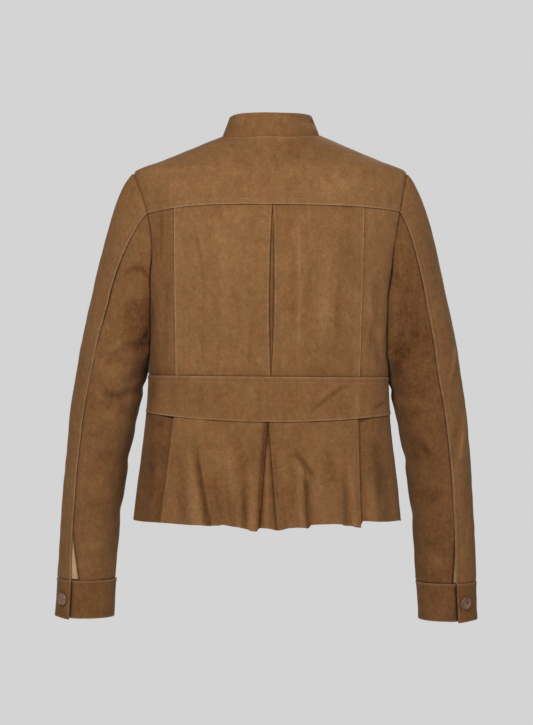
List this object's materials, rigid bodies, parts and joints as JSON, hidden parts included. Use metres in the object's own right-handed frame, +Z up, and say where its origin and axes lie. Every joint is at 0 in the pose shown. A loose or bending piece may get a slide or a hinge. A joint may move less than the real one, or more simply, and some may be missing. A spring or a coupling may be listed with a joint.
{
  "type": "leather jacket in worn form",
  "caption": "Waist-length suede jacket with stand collar, back yoke, pleated back and peplum, hollow, in the shape it takes when worn.",
  "frame": {"origin": "midway between the two points where the shoulder seams meet the collar, where a wearer's shoulders hold the jacket up", "axes": "+Z up, from hem to collar; +Y out of the jacket's back; +X towards the wearer's left"},
  "size_m": [0.6177, 0.2373, 0.7227],
  "materials": {
    "suede": "napped tan suede, matte and mottled",
    "lining": "cream satin",
    "thread": "light tan polyester topstitching, half matte",
    "button": "mottled brown horn, half matte"
  },
  "bodies": {
    "root": {"back_yoke": "suede", "back_left": "suede", "side_back_left": "suede", "back_right": "suede", "side_back_right": "suede", "back_pleat": "suede", "front_left": "suede", "front_right": "suede", "waistband_back": "suede", "waistband_front_left": "suede", "waistband_front_right": "suede", "peplum_back_left": "suede", "peplum_side_left": "suede", "peplum_front_left": "suede", "peplum_back_right": "suede", "peplum_side_right": "suede", "peplum_front_right": "suede", "peplum_pleat": "suede", "collar": "suede", "top_sleeve_left": "suede", "under_sleeve_left": "suede", "sleeve_lining_left": "lining", "cuff_left": "suede", "top_sleeve_right": "suede", "under_sleeve_right": "suede", "sleeve_lining_right": "lining", "cuff_right": "suede", "cuff_button_left": "button", "cuff_button_right": "button", "front_button_1": "button", "front_button_2": "button", "front_button_3": "button", "front_button_4": "button", "front_button_5": "button"}
  },
  "joints": []
}
